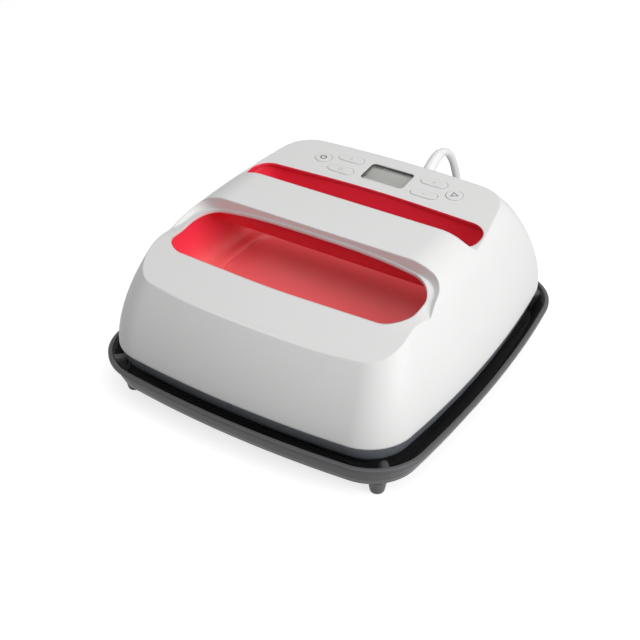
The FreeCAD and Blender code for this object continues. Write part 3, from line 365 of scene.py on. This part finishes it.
def convex_ring(points):
    """Outer ring of flat points, counterclockwise."""
    points = sorted(set(points))

    def half(run):
        chain = []
        for p in run:
            while len(chain) > 1 and ((chain[-1][0] - chain[-2][0]) * (p[1] - chain[-2][1])
                                      - (chain[-1][1] - chain[-2][1]) * (p[0] - chain[-2][0])) <= 0.0:
                chain.pop()
            chain.append(p)
        return chain[:-1]
    return half(points) + half(points[::-1])


def evenly(corners, step):
    """Points at even steps round a closed ring."""
    points = []
    carry = 0.0
    for a, b in zip(corners, corners[1:] + corners[:1]):
        a = Vector(a)
        b = Vector(b)
        length = (b - a).length
        while carry < length:
            points.append(a.lerp(b, carry / length))
            carry += step
        carry -= length
    return points


def skirt_band(made):
    """Upright band of the dark housing right under the white shell, tucked in sharply at its foot."""
    skirt = [vertex.co for vertex in nodes["lower_skirt"].data.vertices]
    rim_z = max(at.z for at in skirt if abs(at.z - SHELL_FOOT_Z) < RIM_NEAR)
    rim = [(round(at.x, 6), round(at.y, 6)) for at in skirt if abs(at.z - rim_z) < RIM_FLAT]
    ring = evenly(convex_ring(rim), BAND_STEP)
    count = len(ring)
    outward = []
    for i in range(count):
        run = (ring[(i + 1) % count] - ring[i - 1]).normalized()
        outward.append(Vector((run.y, -run.x)))
    verts = []
    for inset, z in BAND_PROFILE:
        verts += [(p.x - n.x * inset, p.y - n.y * inset, z) for p, n in zip(ring, outward)]
    rows = len(BAND_PROFILE)
    faces = []
    for k in range(rows):
        low = k * count
        high = (k + 1) % rows * count
        faces += [(low + i, high + i, high + (i + 1) % count, low + (i + 1) % count) for i in range(count)]
    band = add_mesh("skirt_band", verts, faces, made, smooth=True)
    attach(band, "press")


def on_panel():
    """Matrix from panel coordinates to the product."""
    return Matrix.Translation(PANEL_MID) @ Matrix.Rotation(PANEL_TILT, 4, "X")


def printed_line(points, width, closed):
    """Vertices and faces of a thin printed line through points in panel coordinates."""
    low = KEY_PROUD - PRINT_SUNK
    high = KEY_PROUD + PRINT_PROUD
    count = len(points)
    verts = []
    for i, (x, y) in enumerate(points):
        before = points[(i - 1) % count] if closed or i > 0 else points[i]
        after = points[(i + 1) % count] if closed or i < count - 1 else points[i]
        run = Vector((after[0] - before[0], after[1] - before[1])).normalized()
        aside_x = run.y * width / 2
        aside_y = run.x * width / 2
        verts += [(x - aside_x, y + aside_y, low), (x + aside_x, y - aside_y, low),
                  (x + aside_x, y - aside_y, high), (x - aside_x, y + aside_y, high)]
    faces = []
    for i in range(count if closed else count - 1):
        faces += quads(4 * i, 4 * ((i + 1) % count), 4)
    if not closed:
        last = 4 * (count - 1)
        faces += [(3, 2, 1, 0), (last, last + 1, last + 2, last + 3)]
    return verts, faces


def arc(y, radius, start=0.0, sweep=360.0, steps=28):
    """Points on an arc round a point on the key's middle line."""
    count = steps if sweep >= 360.0 else steps + 1
    angles = [math.radians(start + sweep * i / steps) for i in range(count)]
    return [(radius * math.cos(angle), y + radius * math.sin(angle)) for angle in angles]


def symbol(name, body, centre, lines, width, made):
    """Printed symbol made of open and closed lines round its key's middle, riding on the key."""
    verts = []
    faces = []
    for points, closed in lines:
        placed = [(centre[0] + x, centre[1] + y) for x, y in points]
        more_verts, more_faces = printed_line(placed, width, closed)
        faces += [tuple(index + len(verts) for index in face) for face in more_faces]
        verts += more_verts
    piece = add_mesh(name, verts, faces, made, on_panel())
    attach(piece, body)


def key_symbols(print_dark, print_faint):
    """Plain generic symbols on the six keys."""
    broken_ring = (arc(0.0, POWER_R, 125.0, 290.0), False)
    stroke = ([(0.0, POWER_R / 4), (0.0, POWER_R * 4 / 3)], False)
    bulb = (arc(BULB_Y, BULB_R, 130.0, 280.0), False)
    tube = ([(-TUBE_HALF, TUBE_LOW_Y), (-TUBE_HALF, TUBE_HIGH_Y), (TUBE_HALF, TUBE_HIGH_Y),
             (TUBE_HALF, TUBE_LOW_Y)], False)
    dial = (arc(0.0, CLOCK_R), True)
    level_bar = ([(-SIGN_ARM, 0.0), (SIGN_ARM, 0.0)], False)
    upright_bar = ([(0.0, -SIGN_ARM), (0.0, SIGN_ARM)], False)
    symbol("power_symbol", "power_key", (-ROUND_KEY_X, 0.0), [broken_ring, stroke],
           POWER_WIDTH, print_dark)
    symbol("start_symbol", "start_key", (ROUND_KEY_X, 0.0), [(START_POINTS, True)],
           START_WIDTH, print_dark)
    symbol("temperature_symbol", "temperature_key", (-PILL_KEY_X, UPPER_KEY_V), [bulb, tube],
           FINE_WIDTH, print_faint)
    symbol("timer_symbol", "timer_key", (-PILL_KEY_X, LOWER_KEY_V), [dial, (CLOCK_HANDS, False)],
           FINE_WIDTH, print_faint)
    symbol("plus_symbol", "plus_key", (PILL_KEY_X, UPPER_KEY_V), [level_bar, upright_bar],
           SIGN_WIDTH, print_faint)
    symbol("minus_symbol", "minus_key", (PILL_KEY_X, LOWER_KEY_V), [level_bar],
           SIGN_WIDTH, print_faint)


def rounded_rectangle(half_x, half_y, corner, steps=6):
    """Points round a rectangle with round corners."""
    points = []
    for sx, sy, start in ((1, 1, 0.0), (-1, 1, 90.0), (-1, -1, 180.0), (1, -1, 270.0)):
        for i in range(steps + 1):
            angle = math.radians(start + 90.0 * i / steps)
            points.append((sx * (half_x - corner) + corner * math.cos(angle),
                           sy * (half_y - corner) + corner * math.sin(angle)))
    return points


def display_shade_rim(made):
    """Thin dark rim round the inside of the display's opening: painted shade on its walls, partly the
    bezel's own grey.
    """
    outer = rounded_rectangle(DISPLAY_HALF_X - RIM_GAP, DISPLAY_HALF_Y - RIM_GAP, DISPLAY_CORNER - RIM_GAP)
    reach = RIM_GAP + RIM_THICKNESS
    inner = rounded_rectangle(DISPLAY_HALF_X - reach, DISPLAY_HALF_Y - reach, DISPLAY_CORNER - reach)
    count = len(outer)
    verts = []
    for points, z in ((outer, RIM_LOW), (outer, RIM_HIGH), (inner, RIM_HIGH), (inner, RIM_LOW)):
        verts += [(x, y, z) for x, y in points]
    faces = []
    for k in range(4):
        faces += quads(k * count, (k + 1) % 4 * count, count)
    rim = add_mesh("display_shade_rim", verts, faces, made, on_panel())
    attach(rim, "press")


def coil_points():
    """Control points of the wound coil, from its top turn down to its lowest."""
    total = int(COIL_LAYERS * LAYER_TURNS * TURN_STEPS)
    widen = 1.0 / math.cos(math.pi / TURN_STEPS)
    points = []
    for i in range(total + 1):
        turns = i / TURN_STEPS
        layer = min(int(turns / LAYER_TURNS), COIL_LAYERS - 1)
        within = turns - layer * LAYER_TURNS
        radius = widen * (COIL_OUTER_R - COIL_PITCH * (within if layer % 2 == 0 else LAYER_TURNS - within))
        level = COIL_LAYERS - 1.0 - layer
        if layer > 0 and within < QUARTER_TURN:
            level += 0.5 - 0.5 * math.sin(within * FULL_CIRCLE)
        if layer < COIL_LAYERS - 1 and within > LAYER_TURNS - QUARTER_TURN:
            level -= 0.5 - 0.5 * math.sin((LAYER_TURNS - within) * FULL_CIRCLE)
        angle = FULL_CIRCLE * (turns + QUARTER_TURN)
        offset = Vector((radius * math.cos(angle), radius * math.sin(angle), COIL_PITCH * level))
        points.append(COIL_CENTRE + offset)
    return points


def route(points):
    """Route points in millimetres, behind the shell's widest rear, as metres in the frame."""
    return [Vector((x / 1000.0, REAR_Y + behind / 1000.0, z / 1000.0)) for x, behind, z in points]


def cord_spline(points, bevel):
    """Smooth curve with the points as its control points."""
    curve = bpy.data.curves.new("cord_line", "CURVE")
    curve.dimensions = "3D"
    curve.resolution_u = LINE_STEPS
    curve.bevel_depth = bevel
    curve.bevel_resolution = TUBE_ROUNDNESS
    curve.use_fill_caps = bevel > 0.0
    spline = curve.splines.new("NURBS")
    spline.points.add(len(points) - 1)
    for spot, point in zip(spline.points, points):
        spot.co = (*point, 1.0)
    spline.order_u = 3
    spline.use_endpoint_u = True
    return curve


def curve_mesh(points, bevel):
    """Mesh of the curve, or of its bare line where bevel is 0."""
    holder = bpy.data.objects.new("cord_holder", cord_spline(points, bevel))
    bpy.context.scene.collection.objects.link(holder)
    bpy.context.view_layer.update()
    mesh = bpy.data.meshes.new_from_object(holder)
    bpy.data.objects.remove(holder)
    return mesh


def boot_rings(line):
    """Middles, directions and radii of the sleeve's rings, its edges eased at both ends."""
    points = [Vector(point) for point in line]
    first = (points[1] - points[0]).normalized()
    rings = [(points[0] - first * BOOT_EDGE, first, BOOT_START_R - BOOT_EDGE),
             (points[0], first, BOOT_START_R)]
    run = 0.0
    for before, at, after in zip(points, points[1:], points[2:]):
        run += (at - before).length
        if run > BOOT_LENGTH:
            break
        radius = BOOT_START_R + (BOOT_END_R - BOOT_START_R) * run / BOOT_LENGTH
        rings.append((at, (after - before).normalized(), radius))
    at, last, radius = rings[-1]
    rings.append((at + last * BOOT_EDGE, last, radius - BOOT_EDGE / 3))
    rings.append((at + last * BOOT_EDGE * 1.5, last, CORD_D / 2))
    return rings


def make_boot(line, made):
    """Smooth sleeve that carries the strain relief on along the cord's first bend."""
    verts = []
    for at, way, radius in boot_rings(line):
        across = way.cross(RIGHTWARDS).normalized()
        for k in range(BOOT_SIDES):
            angle = FULL_CIRCLE * k / BOOT_SIDES
            verts.append(at + (RIGHTWARDS * math.cos(angle) + across * math.sin(angle)) * radius)
    last = len(verts) - BOOT_SIDES
    faces = [tuple(range(BOOT_SIDES))[::-1], tuple(range(last, len(verts)))]
    for low in range(0, last, BOOT_SIDES):
        faces += quads(low, low + BOOT_SIDES, BOOT_SIDES)
    boot = add_mesh("cord_boot", verts, faces, made, smooth=True)
    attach(boot, "press")


def make_cord(made):
    """The whole mains cord: strain relief to coil to plug."""
    lead = route([(10, -11.84, 110.67), (10, -2.6, 118.0), (10, 10.6, 120.3), (10, 23.6, 115.8),
                  (10, 34.8, 104.6), (10, 44.7, 86.5), (10, 52, 66), (8.5, 58.5, 48.5), (4, 69.5, 36.5),
                  (-3.5, 83, 30.5), (-12.5, 95.5, 28.3), (-23.5, 104.8, 27.9), (-35.3, 109.1, 27.9),
                  (-46.8, 109.1, 27.9)])
    tail = route([(-61.2, 109.1, 4.5), (-77, 109.1, 4.5), (-93, 105.1, 4.5), (-106.5, 96.1, 6),
                  (-115, 83.1, 8.5), (-118, 69.6, 10.5), (-118, 59.1, 10.5)])
    points = lead + coil_points() + tail
    line = [tuple(vertex.co) for vertex in curve_mesh(points, 0.0).vertices]
    mesh = curve_mesh(points, CORD_D / 2)
    mesh.name = "mains_cord"
    mesh.materials.clear()
    mesh.materials.append(made)
    for face in mesh.polygons:
        face.use_smooth = True
    cord = bpy.data.objects.new("mains_cord", mesh)
    bpy.context.scene.collection.objects.link(cord)
    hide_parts("cord_lead", "cord_coil", "cord_tail")
    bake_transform(cord)
    make_boot(line, made)


def area_light(name, at, aim, size, power):
    """Soft rectangular studio light."""
    lamp = bpy.data.lights.new(name, "AREA")
    lamp.shape = "RECTANGLE"
    lamp.size, lamp.size_y = size
    lamp.energy = power
    holder = bpy.data.objects.new(name, lamp)
    holder.location = at
    holder.rotation_euler = (Vector(aim) - Vector(at)).to_track_quat("-Z", "Y").to_euler()
    bpy.context.scene.collection.objects.link(holder)


def seen_rays(tree):
    """Value that is 1 for camera, glossy and transmission rays."""
    path = tree.nodes.new("ShaderNodeLightPath")
    first = tree.nodes.new("ShaderNodeMath")
    first.operation = "MAXIMUM"
    second = tree.nodes.new("ShaderNodeMath")
    second.operation = "MAXIMUM"
    tree.links.new(path.outputs["Is Camera Ray"], first.inputs[0])
    tree.links.new(path.outputs["Is Glossy Ray"], first.inputs[1])
    tree.links.new(first.outputs["Value"], second.inputs[0])
    tree.links.new(path.outputs["Is Transmission Ray"], second.inputs[1])
    return second.outputs["Value"]


def make_world():
    """Even surrounding light, seen as plain white."""
    world = bpy.data.worlds.new("studio")
    world.use_nodes = True
    tree = world.node_tree
    background = tree.nodes["Background"]
    background.inputs["Color"].default_value = (1.0, 1.0, 1.0, 1.0)
    strength = tree.nodes.new("ShaderNodeMapRange")
    strength.inputs["To Min"].default_value = WORLD_LEVEL
    strength.inputs["To Max"].default_value = 1.0
    tree.links.new(seen_rays(tree), strength.inputs["Value"])
    tree.links.new(strength.outputs["Result"], background.inputs["Strength"])
    bpy.context.scene.world = world


def make_floor():
    """Pale floor that fades into the white surroundings but keeps the shadow."""
    made, tree, shader = material("floor", FLOOR_GREY, 0.9)
    shader.inputs["Specular IOR Level"].default_value = 0.0
    shader.inputs["Emission Color"].default_value = (1.0, 1.0, 1.0, 1.0)
    glow = tree.nodes.new("ShaderNodeMath")
    glow.operation = "MULTIPLY"
    glow.inputs[1].default_value = FLOOR_GLOW
    tree.links.new(seen_rays(tree), glow.inputs[0])
    tree.links.new(glow.outputs["Value"], shader.inputs["Emission Strength"])
    reach = FLOOR_REACH
    corners = [(-reach, -reach, 0), (reach, -reach, 0), (reach, reach, 0), (-reach, reach, 0)]
    floor = add_mesh("floor", corners, [(0, 1, 2, 3)], made)


def make_camera():
    """Camera at the photograph's viewpoint."""
    lens = bpy.data.cameras.new("camera")
    lens.lens = LENS_MM
    lens.sensor_width = SENSOR_MM
    holder = bpy.data.objects.new("camera", lens)
    holder.location = CAMERA_AT
    holder.rotation_euler = (CAMERA_TARGET - CAMERA_AT).to_track_quat("-Z", "Y").to_euler()
    bpy.context.scene.collection.objects.link(holder)
    bpy.context.scene.camera = holder


def dress_press():
    """Outside of the press: shell, keys, recess, grip and dark housing."""
    dress(moulded("shell_white", WHITE, 0.5, grain=0.000008, soften=0.0018, wander=0.008, shine=0.4),
          "top_shell")
    dress(moulded("keys_white", shade(WHITE, 0.98), 0.40, grain=0.000006, soften=0.0004, wander=0.008),
          "power_button", "start_button", "temperature_button", "timer_button", "plus_button",
          "minus_button")
    # The recess red paints a sheen on its level faces.
    recess_red = painted_sheen_bowl("recess_red", RED_WALL, RED_FLOOR_PAINTED_SHEEN, 0.36)
    dress(recess_red, "recess_liner")
    line_openings(recess_red)
    # The grip's red is darkened with painted shade.
    dress(moulded("grip_red", GRIP_RED_PAINTED_SHADE, 0.36, grain=0.000008, scale=2200.0, wander=0.03), "grip_underside")
    dress(moulded("housing_dark", HOUSING, 0.3, grain=0.000004, scale=1800.0, soften=0.001, wander=0.05),
          "lower_skirt")
    skirt_band(moulded("band_dark", HOUSING, 0.3, grain=0.000004, scale=1800.0, wander=0.05))


def dress_stand():
    """The stand, its feet, its pad and its mat."""
    dress(moulded("stand_grey", STAND, 0.4, grain=0.00003, scale=1500.0, soften=0.0012, wander=0.05,
                  shine=0.25), "base_tray")
    dress(moulded("feet_grey", FEET, 0.5, grain=0.00002, scale=1500.0, wander=0.05), "base_feet")
    dress(woven("pad_felt", (0.022, 0.022, 0.023), 0.95, 900.0), "base_insulation")
    # Painted shade inside the tray, below its lip.
    shade_stand_inside(moulded("stand_painted_shade", STAND_INSIDE_SHADE, 0.7, grain=0.00002, scale=1500.0, wander=0.05))
    dress(woven("mat_dark", (0.03, 0.03, 0.034), 0.85, 700.0), "base_mat")


def dress_inside():
    """Plate, insulation, boards, fittings and the display."""
    dress(moulded("plate_coating", (0.06, 0.06, 0.063), 0.45, scale=1800.0, wander=0.05), "heat_plate")
    dress(metal("element_steel", (0.40, 0.39, 0.37), 0.4, (1.0, 0.1, 1.0)),
          "heating_element", "plate_spacers", "temperature_sensor")
    dress(metal("screw_zinc", (0.62, 0.62, 0.61), 0.3),
          "plate_screws", "shell_screws", "power_board_screws", "board_screws")
    dress(woven("fibre_board", (0.66, 0.62, 0.54), 0.9, 500.0), "insulation_board")
    dress(metal("shield_sheet", (0.76, 0.76, 0.77), 0.32, (0.1, 1.0, 1.0)), "heat_shield")
    dress(circuit("board_green"), "power_board", "control_board")
    dress(moulded("fitting_black", (0.03, 0.03, 0.03), 0.5),
          "thermal_cutout", "push_switches", "power_board_posts", "terminal_block", "cord_clamp")
    dress(moulded("display_grey", DISPLAY, 0.35, grain=0.000002, scale=900.0, wander=0.01),
          "display_module")
    dress(clear_window("window_clear"), "display_window")


def dress_cord():
    """The cord's solids, its strain relief, its tie and its plug."""
    dress(moulded("cord_white_cad", CORD_WHITE, 0.5), "supply_cable", "cord_lead", "cord_coil", "cord_tail")
    dress(moulded("fitting_white", shade(CORD_WHITE, 0.98), 0.48, scale=1800.0, soften=0.0006),
          "strain_relief", "plug_body")
    dress(woven("tie_black", (0.03, 0.03, 0.03), 0.8, 1400.0), "cord_tie")
    dress(metal("pin_brass", (0.80, 0.66, 0.38), 0.25), "plug_pins")


bpy.context.scene.view_settings.view_transform = "Standard"
make_camera()
make_world()
make_floor()
area_light("key", *KEY_LAMP)
area_light("top", *TOP_LAMP)

dress_press()
dress_stand()
dress_inside()
dress_cord()
make_cord(moulded("cord_white", CORD_WHITE, 0.5, grain=0.000015, scale=1200.0))
# Painted shade on the walls of the display's opening.
display_shade_rim(moulded("rim_painted_shade", (0.10, 0.10, 0.10), 0.5, scale=1500.0))
key_symbols(moulded("print_dark", (0.03, 0.03, 0.03), 0.6), moulded("print_faint", (0.50, 0.50, 0.50), 0.6))
